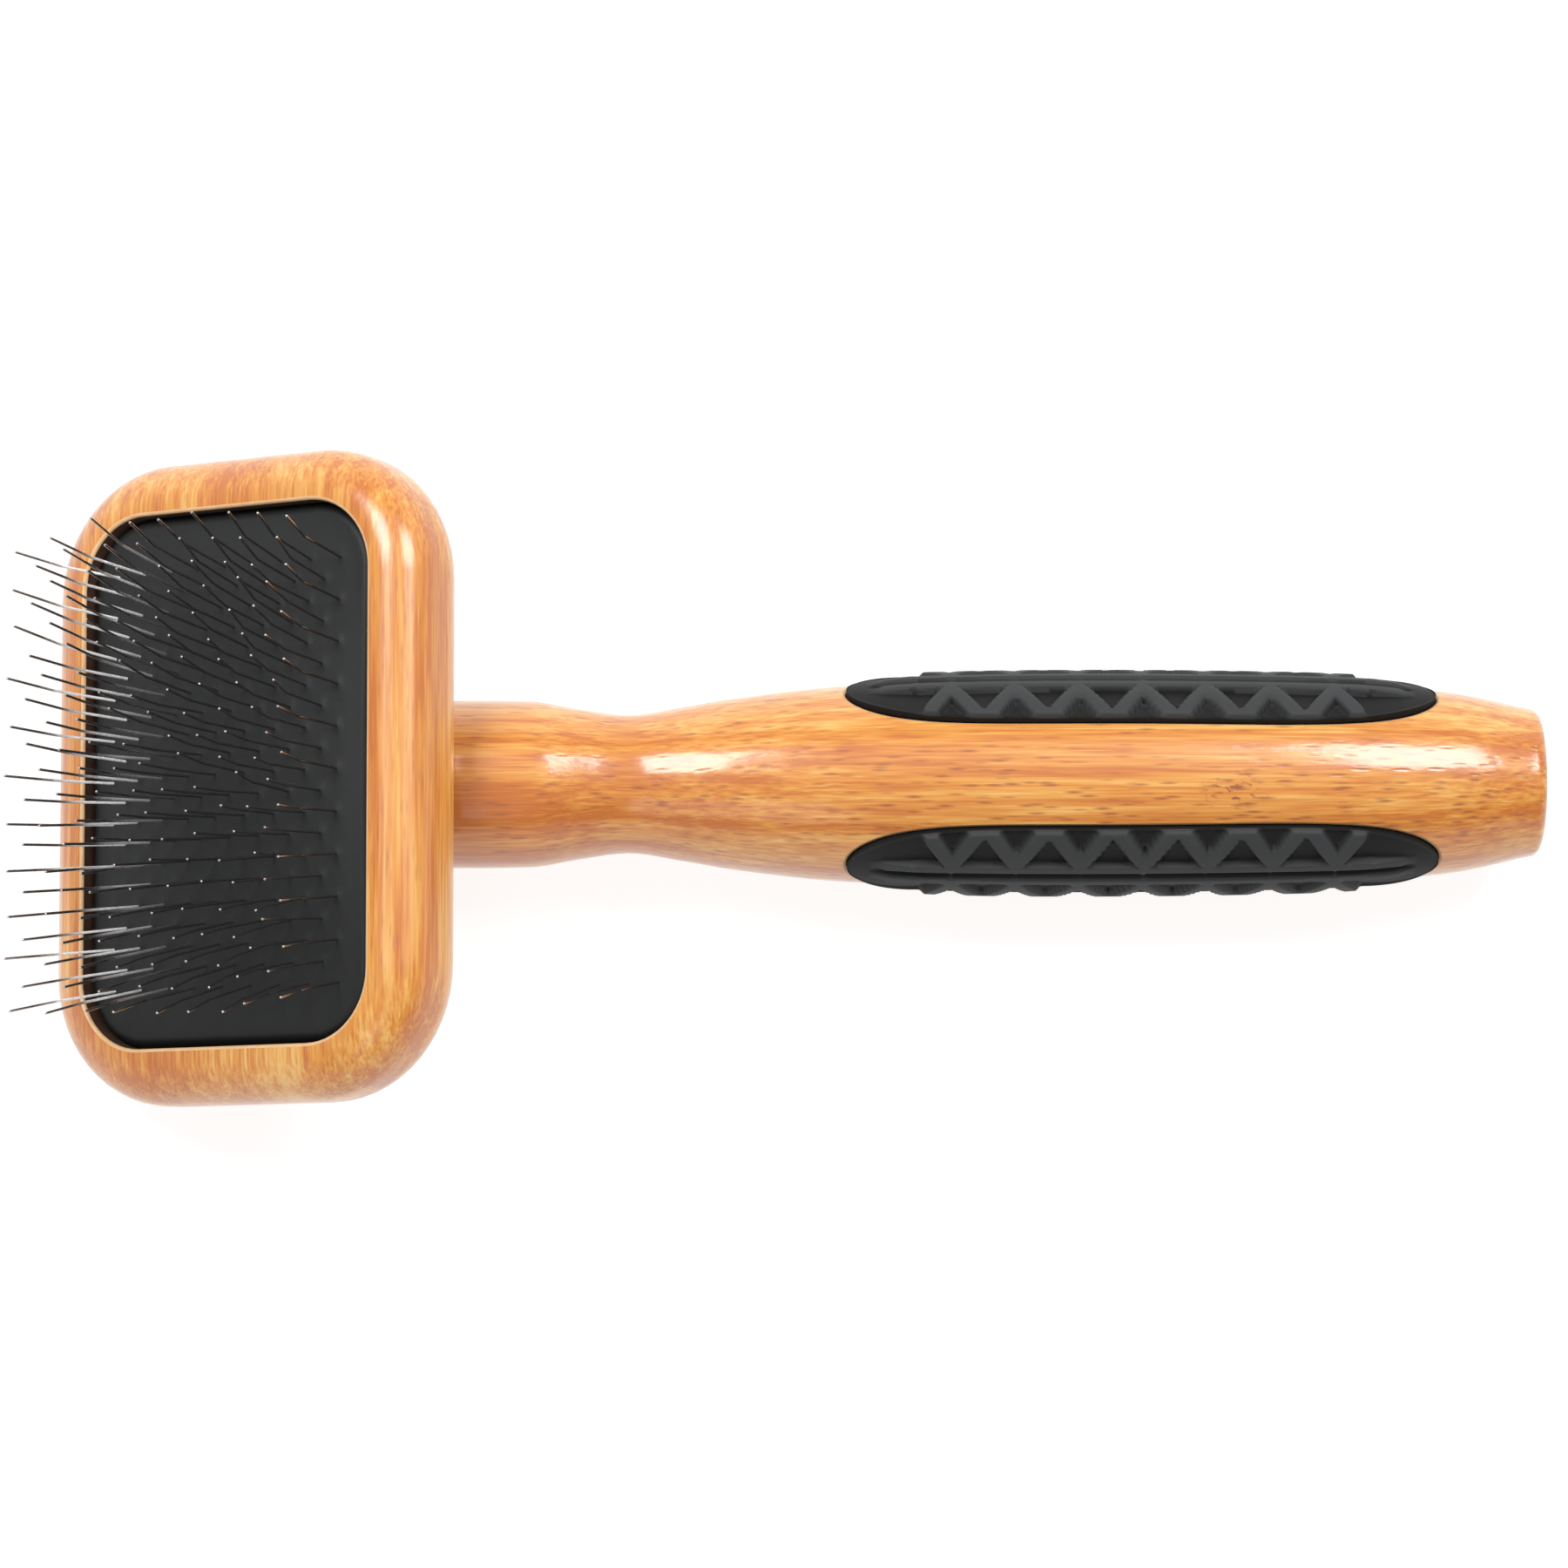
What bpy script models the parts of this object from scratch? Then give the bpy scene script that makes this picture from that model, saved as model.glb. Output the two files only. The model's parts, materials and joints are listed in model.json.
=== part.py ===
"""Slicker brush for grooming pets: a bamboo head on a turned bamboo handle.

The head is a rounded slab with a pocket. In the pocket a domed pad of bent wire pins rests on foam,
and the whole pad gives way along the head's own normal. The handle leaves the back of the head at
a slant, is held by two wood screws from inside the pocket, and carries three rubber grips.

Units are metres and +Z is up. The brush lies with its pins up and its handle's axis along +X.
Two frames place the pieces:
  head frame    u (x) is the short side, towards the handle; v (y) the long side; w (z) is out of the
                pin face. w = 0 is the front of the rim.
  handle frame  z runs along the handle's axis from the back of the head to the butt, and -x points
                up, to the side that the pins are on.
"""
import math

import bmesh
import bpy
from mathutils import Matrix, Vector

MM = 0.001

# ------------------------------------------------------------------ driving dimensions
GAP = 0.3 * MM                      # between pieces that touch

HEAD_LENGTH = 94.5 * MM             # along v
HEAD_WIDTH = 66.0 * MM              # along u
HEAD_THICKNESS = 15.7 * MM
HEAD_CORNER = 19.5 * MM             # radius of the outline's corners
HEAD_FILLET = 6.6 * MM              # round of the rim's front and back edges
HEAD_TILT = math.radians(31.6)      # between the pin face and the handle's axis

POCKET_LENGTH = 78.2 * MM
POCKET_WIDTH = 50.8 * MM
POCKET_CORNER = 10.4 * MM
POCKET_DEPTH = 9.5 * MM
POCKET_CHAMFER = 0.5 * MM           # broken edge where the pocket meets the rim

PAD_EDGE_DEPTH = 1.8 * MM           # the pad's edge lies this far below the rim
PAD_RISE = 3.2 * MM                 # and its middle stands this far above its edge
RUBBER_THICKNESS = 1.4 * MM
CANVAS_THICKNESS = 0.8 * MM
PAD_TRAVEL = 2.0 * MM               # how far the pad can be pressed in
PAD_CELLS = 7                       # facets across the dome

PIN_ROWS = 21
LONG_ROW_PINS = 9                   # the first row and every second one; the others have one pin fewer
ROW_PITCH = 3.05 * MM               # along v
PIN_PITCH = 5.0 * MM                # along u, so that the pins of neighbouring rows are half a pitch apart
PIN_THICKNESS = 0.5 * MM
CROWN_THICKNESS = 0.6 * MM          # the wire that joins a row behind the canvas
PIN_LOWER = 10.0 * MM               # from the rubber to the knee
PIN_UPPER = 9.6 * MM                # from the knee to the tip
PIN_LEAN = math.radians(1.0)        # lower part of a row's middle pin, away from the handle
EDGE_LEAN = math.radians(9.0)       # what the pins at both ends of a row lean more than that
PIN_BEND = math.radians(16.5)       # at the knee, towards the handle
FAN_LONG = math.radians(15.0)       # outward splay of the end rows
FAN_SHORT = math.radians(13.5)      # outward splay of the outermost pins in a row

BUTT_CORNER = 1.6 * MM
# Handle radius at stations along its axis: collar, waist, belly, and the taper to the butt.
HANDLE_STATIONS = [(-22, 12.2), (10, 12.2), (36, 12.2), (43, 11.1), (50.5, 10.2), (58, 11.3), (66, 12.65),
                   (80, 14.25), (98, 15.05), (120, 15.25), (143, 15.0), (158, 14.5), (172, 13.2), (182.7, 10.95)]
RINGS_PER_STATION = 2
HANDLE_SEGMENTS = 32

GRIP_TURNS = {"grip_left": 61.0, "grip_right": -61.0, "grip_back": 180.0}   # degrees from straight up
GRIP_CENTRE = 125.4 * MM            # along the handle
GRIP_LENGTH = 86.6 * MM
GRIP_WIDTH = 15.8 * MM              # straight across, not round the wood
GRIP_INSET = 2.0 * MM               # depth of its pocket in the wood
GRIP_PROUD = 1.5 * MM               # how far it stands above the wood
GRIP_FULLNESS = 5                   # power that sets how blunt the grip's ends are: 2 is an ellipse
GRIP_POINTS = 40                    # round the outline
GRIP_MARGIN = 6.0 * MM              # how far the tools that cut a grip run past its ends

SCREW_PLACES = [2.0 * MM, 14.0 * MM]    # along u, towards the handle
SCREW_LENGTH = 18.0 * MM
SCREW_SHANK = 1.8 * MM              # radius
SCREW_HEAD = 3.5 * MM               # radius
SCREW_HEAD_DEPTH = 2.2 * MM
SCREW_POINT = 4.0 * MM              # length of the tapered tip
SCREW_SLOT = 0.9 * MM               # width of each arm of the cross recess
SCREW_SEGMENTS = 20

# ------------------------------------------------------------------ worked-out places
HEAD_NORMAL = Vector((-math.sin(HEAD_TILT), 0.0, math.cos(HEAD_TILT)))
LAST_ROW = (PIN_ROWS - 1) / 2 * ROW_PITCH
LAST_PIN = (LONG_ROW_PINS - 1) / 2 * PIN_PITCH
CANVAS_TOP = RUBBER_THICKNESS + GAP                  # depths below the pad's face
CROWN_TOP = CANVAS_TOP + CANVAS_THICKNESS + GAP
FOAM_TOP = CROWN_TOP + CROWN_THICKNESS + PAD_TRAVEL + GAP

# Colour, roughness and metallic value of each material.
MATERIALS = {
    "bamboo": ((0.72, 0.38, 0.13), 0.22, 0.0),
    "grip_rubber": ((0.045, 0.047, 0.05), 0.55, 0.0),
    "pad_rubber": ((0.03, 0.031, 0.033), 0.5, 0.0),
    "pin_steel": ((0.62, 0.62, 0.64), 0.25, 1.0),
    "foam": ((0.55, 0.52, 0.42), 0.95, 0.0),
    "canvas": ((0.5, 0.45, 0.36), 0.9, 0.0),
    "screw_steel": ((0.6, 0.58, 0.5), 0.35, 1.0),
}


# ------------------------------------------------------------------ scene and helpers
def clear_scene():
    for obj in list(bpy.data.objects):
        bpy.data.objects.remove(obj, do_unlink=True)
    for mesh in list(bpy.data.meshes):
        bpy.data.meshes.remove(mesh)


def new_collection(name):
    collection = bpy.data.collections.new(name)
    bpy.context.scene.collection.children.link(collection)
    return collection


def make_material(name):
    colour, roughness, metallic = MATERIALS[name]
    material = bpy.data.materials.new(name)
    material.use_nodes = True
    shader = material.node_tree.nodes["Principled BSDF"]
    shader.inputs["Base Color"].default_value = (*colour, 1.0)
    shader.inputs["Roughness"].default_value = roughness
    shader.inputs["Metallic"].default_value = metallic
    return material


def make_frame(name, location, rotation, parent=None):
    frame = bpy.data.objects.new(name, None)
    frame.location = location
    frame.rotation_euler = rotation
    frame.parent = parent
    parts.objects.link(frame)
    return frame


def add_piece(name, data, material, frame):
    """A visible piece of the brush, in its frame."""
    piece = bpy.data.objects.new(name, data)
    piece.data.materials.append(materials[material])
    piece.parent = frame
    parts.objects.link(piece)
    if piece.type == "MESH":
        piece.data.shade_smooth()
        piece.data.set_sharp_from_angle(angle=math.radians(35))
    return piece


def add_cutter(name, data, frame):
    """A helper that only cuts or trims other pieces."""
    cutter = bpy.data.objects.new(name, data)
    cutter.parent = frame
    cutter.display_type = "WIRE"
    cutter.hide_render = True
    cutters.objects.link(cutter)
    return cutter


def combine(piece, other, operation):
    boolean = piece.modifiers.new(f"{operation.lower()} {other.name}", "BOOLEAN")
    boolean.operation = operation
    boolean.object = other


def to_mesh(bm, name):
    bmesh.ops.recalc_face_normals(bm, faces=bm.faces)
    mesh = bpy.data.meshes.new(name)
    bm.to_mesh(mesh)
    bm.free()
    return mesh


def box(name, size, centre=(0.0, 0.0, 0.0)):
    bm = bmesh.new()
    bmesh.ops.create_cube(bm, size=1.0, matrix=Matrix.Translation(centre) @ Matrix.Diagonal((*size, 1.0)))
    return to_mesh(bm, name)


def rounded_slab(width, length, thickness, corner, corner_segments=8):
    """A slab with round corners, its top face at z = 0, as a bmesh."""
    bm = bmesh.new()
    place = Matrix.Translation((0.0, 0.0, -thickness / 2)) @ Matrix.Diagonal((width, length, thickness, 1.0))
    bmesh.ops.create_cube(bm, size=1.0, matrix=place)
    upright = [e for e in bm.edges if abs(e.verts[0].co.z - e.verts[1].co.z) > thickness / 2]
    bmesh.ops.bevel(bm, geom=upright, offset=corner, segments=corner_segments, profile=0.5, affect="EDGES")
    return bm


def bevel_rim(bm, height, offset, segments):
    """Rounds the slab's edges that lie at one height."""
    rim = [e for e in bm.edges if all(abs(v.co.z - height) < 1e-7 for v in e.verts)]
    bmesh.ops.bevel(bm, geom=rim, offset=offset, segments=segments, profile=0.5, affect="EDGES")


def turned(name, profile):
    """A solid of revolution about z, from (radius, z) points that run from its far end to its near end."""
    bm = bmesh.new()
    verts = [bm.verts.new((radius, 0.0, z)) for radius, z in profile]
    for a, b in zip(verts, verts[1:]):
        bm.edges.new((a, b))
    mesh = bpy.data.meshes.new(name)
    bm.to_mesh(mesh)
    bm.free()
    return mesh


def screw_modifier(piece, steps):
    screw = piece.modifiers.new("turn", "SCREW")
    screw.axis = "Z"
    screw.steps = steps
    screw.render_steps = steps
    screw.use_merge_vertices = True
    screw.merge_threshold = 0.00001
    screw.use_smooth_shade = True


# ------------------------------------------------------------------ shapes that follow a rule
def pad_height(u, v):
    """The pad's face: w of its surface, a dome over the pocket's rectangle."""
    across = 1.0 - min(1.0, abs(2 * u / POCKET_WIDTH)) ** 2
    along = 1.0 - min(1.0, abs(2 * v / POCKET_LENGTH)) ** 2
    return -PAD_EDGE_DEPTH + PAD_RISE * across * along


def handle_radius(z):
    """Smooth curve through the handle's stations."""
    points = [(s * MM, r * MM) for s, r in HANDLE_STATIONS]
    last = len(points) - 2
    i = min(last, max(0, sum(z >= s for s, _ in points) - 1))
    (z0, r0), (z1, r1) = points[i], points[i + 1]

    def slope(k):
        low, high = points[max(k - 1, 0)], points[min(k + 1, last + 1)]
        return (high[1] - low[1]) / (high[0] - low[0])

    span = z1 - z0
    t = (z - z0) / span
    return ((2 * t**3 - 3 * t**2 + 1) * r0 + (t**3 - 2 * t**2 + t) * span * slope(i)
            + (3 * t**2 - 2 * t**3) * r1 + (t**3 - t**2) * span * slope(i + 1))


def handle_profile(offset, start, end):
    """(radius, z) points of the handle's outside, moved out by offset, from end back to start."""
    stations = [s * MM for s, _ in HANDLE_STATIONS]
    rings = []
    for low, high in zip(stations, stations[1:]):
        rings += [low + (high - low) * k / RINGS_PER_STATION for k in range(RINGS_PER_STATION)]
    rings = [start] + [z for z in rings if start < z < end] + [end]
    return [(handle_radius(z) + offset, z) for z in reversed(rings)]


def grip_outline(clearance):
    """Half width of the grip falls off as the root of 1 - x^5, so it is nearly parallel, with round ends."""
    half_length, half_width = GRIP_LENGTH / 2 - clearance, GRIP_WIDTH / 2 - clearance
    points = []
    for k in range(GRIP_POINTS):
        turn = 2 * math.pi * k / GRIP_POINTS
        x = math.copysign(abs(math.cos(turn)) ** (2 / GRIP_FULLNESS), math.cos(turn))
        points.append((half_length * x, half_width * math.sin(turn)))
    return points


# ------------------------------------------------------------------ head
def make_head():
    slab = rounded_slab(HEAD_WIDTH, HEAD_LENGTH, HEAD_THICKNESS, HEAD_CORNER)
    bevel_rim(slab, 0.0, HEAD_FILLET, 5)
    bevel_rim(slab, -HEAD_THICKNESS, HEAD_FILLET, 5)
    head = add_piece("head_block", to_mesh(slab, "head_block"), "bamboo", head_frame)

    overrun = 2.0 * MM
    pocket = rounded_slab(POCKET_WIDTH, POCKET_LENGTH, POCKET_DEPTH + overrun, POCKET_CORNER)
    bmesh.ops.translate(pocket, verts=pocket.verts, vec=(0.0, 0.0, overrun))
    combine(head, add_cutter("pocket_cutter", to_mesh(pocket, "pocket"), head_frame), "DIFFERENCE")

    wide = 2 * (POCKET_CHAMFER + overrun)
    chamfer = rounded_slab(POCKET_WIDTH + wide, POCKET_LENGTH + wide, POCKET_CHAMFER + overrun,
                           POCKET_CORNER + wide / 2)
    bmesh.ops.translate(chamfer, verts=chamfer.verts, vec=(0.0, 0.0, overrun))
    for vert in chamfer.verts:
        if vert.co.z < 0.0:
            vert.co.x -= math.copysign(wide / 2, vert.co.x)
            vert.co.y -= math.copysign(wide / 2, vert.co.y)
    combine(head, add_cutter("chamfer_cutter", to_mesh(chamfer, "chamfer"), head_frame), "DIFFERENCE")
    return head


def make_sheet(name, depth, thickness, slotted, material):
    """A layer of the pad: follows the dome at a depth below its face, with a slot for each pin row."""
    sheet = rounded_slab(POCKET_WIDTH - 2 * GAP, POCKET_LENGTH - 2 * GAP, thickness, POCKET_CORNER - GAP, 5)
    cut_grid(sheet)
    for vert in sheet.verts:
        vert.co.z += pad_height(vert.co.x, vert.co.y) - depth
    piece = add_piece(name, to_mesh(sheet, name), material, head_frame)
    if slotted:
        combine(piece, slot_cutter(), "DIFFERENCE")
    return piece


def cut_grid(sheet):
    """Cuts the flat slab into cells, so that it can bend to the dome. No cut lies on a pin row."""
    cuts = [((k + 0.5) * ROW_PITCH, "y") for k in range(-11, 12, 3)]
    cuts += [((k / PAD_CELLS - 0.5) * POCKET_WIDTH, "x") for k in range(1, PAD_CELLS)]
    for place, axis in cuts:
        point = (place, 0.0, 0.0) if axis == "x" else (0.0, place, 0.0)
        normal = (1.0, 0.0, 0.0) if axis == "x" else (0.0, 1.0, 0.0)
        bmesh.ops.bisect_plane(sheet, geom=sheet.verts[:] + sheet.edges[:] + sheet.faces[:],
                               plane_co=point, plane_no=normal)


def slot_cutter():
    """One tilted slit for each pin row, through the sheets."""
    if "slot_cutter" in bpy.data.objects:
        return bpy.data.objects["slot_cutter"]
    slots = bmesh.new()
    width = PIN_THICKNESS + 2 * GAP
    lean = CROWN_TOP * math.tan(PIN_LEAN + FAN_SHORT + EDGE_LEAN) + PIN_THICKNESS + GAP
    for row in range(PIN_ROWS):
        place = row_matrix(row) @ Matrix.Diagonal((2 * (LAST_PIN + lean), 6 * CROWN_TOP, width, 1.0))
        bmesh.ops.create_cube(slots, size=1.0, matrix=place)
    return add_cutter("slot_cutter", to_mesh(slots, "slots"), head_frame)


def make_foam():
    """The foam under the pad, level below and domed above, drawn as low as the pressed pad leaves it."""
    floor = -POCKET_DEPTH + GAP
    foam = rounded_slab(POCKET_WIDTH - 4 * GAP, POCKET_LENGTH - 4 * GAP, 1.0 * MM, POCKET_CORNER - 2 * GAP, 5)
    cut_grid(foam)
    for vert in foam.verts:
        on_top = vert.co.z > -0.5 * MM
        vert.co.z = pad_height(vert.co.x, vert.co.y) - FOAM_TOP if on_top else floor
    return add_piece("foam_core", to_mesh(foam, "foam_core"), "foam", head_frame)


# ------------------------------------------------------------------ pins
def row_place(row):
    return (row - (PIN_ROWS - 1) / 2) * ROW_PITCH


def row_matrix(row):
    """A row's own plane: x along u, y up the pins. It stands on the pad and is splayed along v."""
    v = row_place(row)
    splay = FAN_LONG * v / LAST_ROW
    return Matrix.Translation((0.0, v, pad_height(0.0, v))) @ Matrix.Rotation(math.pi / 2 - splay, 4, "X")


def pin_line(u, v):
    """Centre line of a pin in its row's plane: root at the crown wire, knee, tip."""
    outward = u / LAST_PIN
    lean = PIN_LEAN - FAN_SHORT * outward + EDGE_LEAN * outward**2
    lower = Vector((-math.sin(lean), math.cos(lean)))
    upper = Vector((-math.sin(lean - PIN_BEND), math.cos(lean - PIN_BEND)))
    foot = Vector((u, pad_height(u, v) - pad_height(0.0, v)))
    root = foot - lower * CROWN_TOP / lower.y
    knee = foot + lower * PIN_LOWER
    return [root, knee, knee + upper * PIN_UPPER]


def row_outline(row):
    """Outline of a row: the crown wire below, then each pin up to its tip and down again."""
    v = row_place(row)
    count = LONG_ROW_PINS - row % 2
    pins = [pin_line((k - (count - 1) / 2) * PIN_PITCH, v) for k in range(count)]
    side = Vector((PIN_THICKNESS / 2, 0.0))
    drop = Vector((0.0, CROWN_THICKNESS))
    bottom = [line[0] - drop for line in pins]
    bottom[0] = bottom[0] - side
    bottom[-1] = bottom[-1] + side
    top = []
    for line in reversed(pins):
        top += [point + side for point in line]
        top += [point - side for point in reversed(line)]
    return bottom + top


def make_pin_row(row):
    name = f"pin_row_{row + 1:02d}"
    curve = bpy.data.curves.new(name, "CURVE")
    curve.dimensions = "2D"
    curve.fill_mode = "BOTH"
    curve.extrude = PIN_THICKNESS / 2
    points = row_outline(row)
    spline = curve.splines.new("POLY")
    spline.points.add(len(points) - 1)
    for point, place in zip(spline.points, points):
        point.co = (place.x, place.y, 0.0, 1.0)
    spline.use_cyclic_u = True
    piece = add_piece(name, curve, "pin_steel", head_frame)
    piece.matrix_local = row_matrix(row)
    return piece


# ------------------------------------------------------------------ handle and grips
def make_handle():
    start, end = HANDLE_STATIONS[0][0] * MM, HANDLE_STATIONS[-1][0] * MM
    side = handle_profile(0.0, start, end)
    rim = side[0][0]
    corner = [(rim - BUTT_CORNER * (1 - math.cos(turn)), end + BUTT_CORNER * math.sin(turn))
              for turn in (math.pi / 2 * k / 4 for k in range(4, 0, -1))]
    profile = [(0.0, end + BUTT_CORNER)] + corner + side + [(0.0, start)]
    handle = add_piece("handle", turned("handle", profile), "bamboo", handle_frame)
    screw_modifier(handle, HANDLE_SEGMENTS)

    depth = 60.0 * MM
    behind = HEAD_THICKNESS + GAP
    mitre = box("mitre", (120.0 * MM, 60.0 * MM, depth), (0.0, 0.0, depth / 2 - behind))
    combine(handle, add_cutter("mitre_cutter", mitre, head_frame), "DIFFERENCE")
    return handle


def grip_prism(name, clearance, turn):
    """Upright prism on the grip's outline, pointing out of the handle at a turn about its axis."""
    curve = bpy.data.curves.new(name, "CURVE")
    curve.dimensions = "2D"
    curve.fill_mode = "BOTH"
    curve.extrude = 10.0 * MM
    points = grip_outline(clearance)
    spline = curve.splines.new("POLY")
    spline.points.add(len(points) - 1)
    for point, (along, across) in zip(spline.points, points):
        point.co = (along, across, 0.0, 1.0)
    spline.use_cyclic_u = True
    outline = bpy.data.objects.new(name, curve)
    cutters.objects.link(outline)
    graph = bpy.context.evaluated_depsgraph_get()
    mesh = bpy.data.meshes.new_from_object(outline.evaluated_get(graph))
    bpy.data.objects.remove(outline)
    bm = bmesh.new()
    bm.from_mesh(mesh)
    bmesh.ops.remove_doubles(bm, verts=bm.verts, dist=0.00001)
    # The curve's x goes along the handle and its z goes out, to the handle frame's -x.
    stand = Matrix(((0, 0, -1, -12.0 * MM), (0, 1, 0, 0), (1, 0, 0, GRIP_CENTRE), (0, 0, 0, 1)))
    bmesh.ops.transform(bm, matrix=Matrix.Rotation(turn, 4, "Z") @ stand, verts=bm.verts)
    return add_cutter(name, to_mesh(bm, name), handle_frame)


def grip_core(name, clearance):
    """The handle less the depth of the grips' pockets."""
    low, high = GRIP_CENTRE - GRIP_LENGTH / 2 - GRIP_MARGIN, GRIP_CENTRE + GRIP_LENGTH / 2 + GRIP_MARGIN
    profile = handle_profile(clearance - GRIP_INSET, low, high)
    profile = [(0.0, high)] + profile + [(0.0, low)]
    core = add_cutter(name, turned(name, profile), handle_frame)
    screw_modifier(core, HANDLE_SEGMENTS)
    return core


def make_grips(handle):
    bare_core, grip_bed = grip_core("bare_core", 0.0), grip_core("grip_bed", GAP)
    margin = GRIP_MARGIN / 2
    low, high = GRIP_CENTRE - GRIP_LENGTH / 2 - margin, GRIP_CENTRE + GRIP_LENGTH / 2 + margin
    for name, degrees in GRIP_TURNS.items():
        turn = math.radians(degrees)
        pocket = grip_prism(f"{name}_pocket_cutter", 0.0, turn)
        combine(pocket, bare_core, "DIFFERENCE")
        combine(handle, pocket, "DIFFERENCE")

        profile = [(0.0, high)] + handle_profile(GRIP_PROUD, low, high) + [(0.0, low)]
        grip = add_piece(name, turned(name, profile), "grip_rubber", handle_frame)
        screw_modifier(grip, HANDLE_SEGMENTS)
        combine(grip, grip_prism(f"{name}_outline", GAP, turn), "INTERSECT")
        combine(grip, grip_bed, "DIFFERENCE")


# ------------------------------------------------------------------ screws
def screw_profile(extra):
    """Countersunk wood screw, its head's top at z = 0, made larger all round by extra."""
    slant = (SCREW_HEAD - SCREW_SHANK) / SCREW_HEAD_DEPTH
    neck = SCREW_HEAD_DEPTH - extra * (math.hypot(1.0, slant) - 1.0) / slant
    return [(SCREW_HEAD + extra, 0.0), (SCREW_SHANK + extra, -neck),
            (SCREW_SHANK + extra, -(SCREW_LENGTH - SCREW_POINT)), (0.0, -SCREW_LENGTH - 2 * extra)]


def make_screws(head, handle):
    seat = -POCKET_DEPTH - GAP
    mouth = 2.0 * MM
    for number, u in enumerate(SCREW_PLACES, start=1):
        profile = [(0.0, mouth), (SCREW_HEAD + GAP, mouth)] + screw_profile(GAP)
        hole = add_cutter(f"screw_hole_{number}", turned("screw_hole", profile), head_frame)
        hole.location = (u, 0.0, seat)
        screw_modifier(hole, SCREW_SEGMENTS)
        combine(head, hole, "DIFFERENCE")
        combine(handle, hole, "DIFFERENCE")

        name = f"handle_screw_{number}"
        screw = add_piece(name, turned(name, [(0.0, 0.0)] + screw_profile(0.0)), "screw_steel", head_frame)
        screw.location = (u, 0.0, seat)
        screw_modifier(screw, SCREW_SEGMENTS)
        arm = (2 * SCREW_HEAD * 0.62, SCREW_SLOT, SCREW_HEAD_DEPTH)
        for turn in (0.0, math.pi / 2):
            slot = add_cutter(f"{name}_recess_{round(turn)}", box("recess", arm), head_frame)
            slot.location = (u, 0.0, seat)
            slot.rotation_euler = (0.0, 0.0, turn)
            combine(screw, slot, "DIFFERENCE")


# ------------------------------------------------------------------ assembly
def stand_on_origin(root):
    """Moves the brush so that its box stands on z = 0, centred on the origin."""
    bpy.context.view_layer.update()
    graph = bpy.context.evaluated_depsgraph_get()
    corners = []
    for obj in parts.objects:
        if obj.type == "EMPTY":
            continue
        solid = obj.evaluated_get(graph)
        mesh = solid.to_mesh()
        corners += [solid.matrix_world @ vert.co for vert in mesh.vertices]
        solid.to_mesh_clear()
    low = Vector([min(c[k] for c in corners) for k in range(3)])
    high = Vector([max(c[k] for c in corners) for k in range(3)])
    root.location -= Vector(((low.x + high.x) / 2, (low.y + high.y) / 2, low.z))
    bpy.context.view_layer.update()


clear_scene()
parts = new_collection("slicker_brush")
cutters = new_collection("cutters")
materials = {name: make_material(name) for name in MATERIALS}
brush = make_frame("brush", (0.0, 0.0, 0.0), (0.0, 0.0, 0.0))
handle_frame = make_frame("handle_frame", (0.0, 0.0, 0.0), (0.0, math.pi / 2, 0.0), brush)
head_frame = make_frame("head_frame", HEAD_NORMAL * HEAD_THICKNESS, (0.0, -HEAD_TILT, 0.0), brush)

head_block = make_head()
handle = make_handle()
make_grips(handle)
make_screws(head_block, handle)
make_foam()
make_sheet("canvas_backing", CANVAS_TOP, CANVAS_THICKNESS, True, "canvas")
make_sheet("rubber_face", 0.0, RUBBER_THICKNESS, True, "pad_rubber")
for row in range(PIN_ROWS):
    make_pin_row(row)
stand_on_origin(brush)
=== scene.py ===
"""Looks of the slicker brush: finer bamboo, rubber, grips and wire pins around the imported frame."""
import json
import math
import random

import bmesh
import bpy
import numpy as np
from mathutils import Matrix, Vector


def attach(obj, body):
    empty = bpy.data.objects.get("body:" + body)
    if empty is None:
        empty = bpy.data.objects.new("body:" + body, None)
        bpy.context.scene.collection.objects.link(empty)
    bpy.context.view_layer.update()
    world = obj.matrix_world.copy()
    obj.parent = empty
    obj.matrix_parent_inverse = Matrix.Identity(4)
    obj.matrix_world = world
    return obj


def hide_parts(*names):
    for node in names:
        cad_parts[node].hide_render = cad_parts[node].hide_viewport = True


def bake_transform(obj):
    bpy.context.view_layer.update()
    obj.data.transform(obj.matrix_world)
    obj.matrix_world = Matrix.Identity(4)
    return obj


MM = 0.001
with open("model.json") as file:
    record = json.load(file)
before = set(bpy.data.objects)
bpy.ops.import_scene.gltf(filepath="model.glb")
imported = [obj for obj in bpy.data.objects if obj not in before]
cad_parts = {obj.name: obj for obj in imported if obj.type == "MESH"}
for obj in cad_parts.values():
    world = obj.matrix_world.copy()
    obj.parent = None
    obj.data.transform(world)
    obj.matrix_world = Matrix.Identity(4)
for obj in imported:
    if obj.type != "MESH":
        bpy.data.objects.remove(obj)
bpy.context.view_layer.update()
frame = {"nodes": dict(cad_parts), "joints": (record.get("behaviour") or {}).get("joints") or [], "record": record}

# ------------------------------------------------------------------ places taken from the frame
press = next(joint for joint in frame["joints"] if joint["name"] == "pad_press")
head_normal = -Vector(press["axis"]).normalized()
butt = Vector(next(mount for mount in frame["record"]["mounts"] if mount["name"] == "butt_face")["pos_m"])
tilt = math.atan2(-head_normal.x, head_normal.z)


def local_span(node, matrix):
    """Lowest and highest corner of a CAD node in a frame of its own."""
    inverse = matrix.inverted()
    points = np.array([inverse @ vert.co for vert in frame["nodes"][node].data.vertices])
    return Vector(points.min(0)), Vector(points.max(0))


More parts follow.
